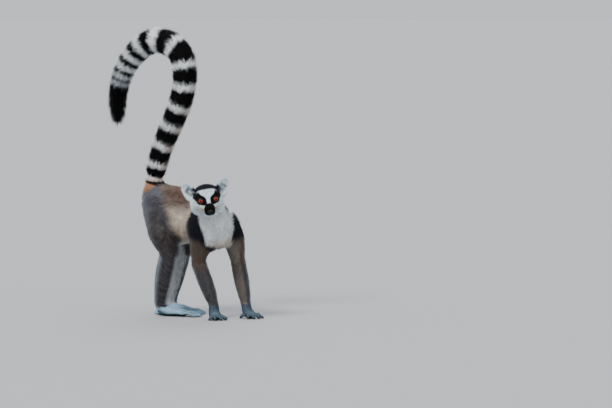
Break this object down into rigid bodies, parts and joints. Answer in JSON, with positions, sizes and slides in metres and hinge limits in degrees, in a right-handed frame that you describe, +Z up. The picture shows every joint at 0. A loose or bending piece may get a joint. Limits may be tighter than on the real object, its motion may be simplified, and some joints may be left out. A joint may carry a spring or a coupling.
{
  "type": "ring-tailed lemur",
  "caption": "life-size ring-tailed lemur standing on all fours, its head turned to the side and its ringed tail raised and hooked over",
  "frame": {"origin": "on the ground, below the middle of the whole animal's box", "axes": "+Z up, the trunk runs along Y with the head towards -Y, +X towards the animal's left"},
  "size_m": [0.1862, 0.4052, 0.6295],
  "materials": {
    "fur_white": "soft white fur of the face, ears, throat, chest, belly, inner legs and feet",
    "fur_grey": "short grey-brown fur of the legs, with dark grey on the outer sides and pale rims",
    "fur_flank": "dense woolly grey-brown fur of the back and the paler, warmer flanks",
    "fur_ringed": "long bushy tail fur in alternating black and white rings, with a black tip",
    "skin": "bare black skin of the nose, palms and soles, with a leathery sheen",
    "eye": "wet, bright orange iris with a black pupil"
  },
  "bodies": {
    "root": {"head": "fur_white", "neck": "fur_white", "trunk": "fur_flank", "ear_right": "fur_white", "ear_left": "fur_white", "eye_right": "eye", "eye_left": "eye", "nose": "skin", "upper_arm_right": "fur_grey", "forearm_right": "fur_grey", "hand_right": "skin", "thigh_right": "fur_grey", "shank_right": "fur_grey", "foot_right": "fur_white", "upper_arm_left": "fur_grey", "forearm_left": "fur_grey", "hand_left": "skin", "thigh_left": "fur_grey", "shank_left": "fur_grey", "foot_left": "fur_white", "tail_1": "fur_ringed", "tail_2": "fur_ringed", "tail_3": "fur_ringed", "tail_4": "fur_ringed", "tail_5": "fur_ringed", "tail_6": "fur_ringed", "tail_7": "fur_ringed", "tail_8": "fur_ringed"}
  },
  "joints": []
}
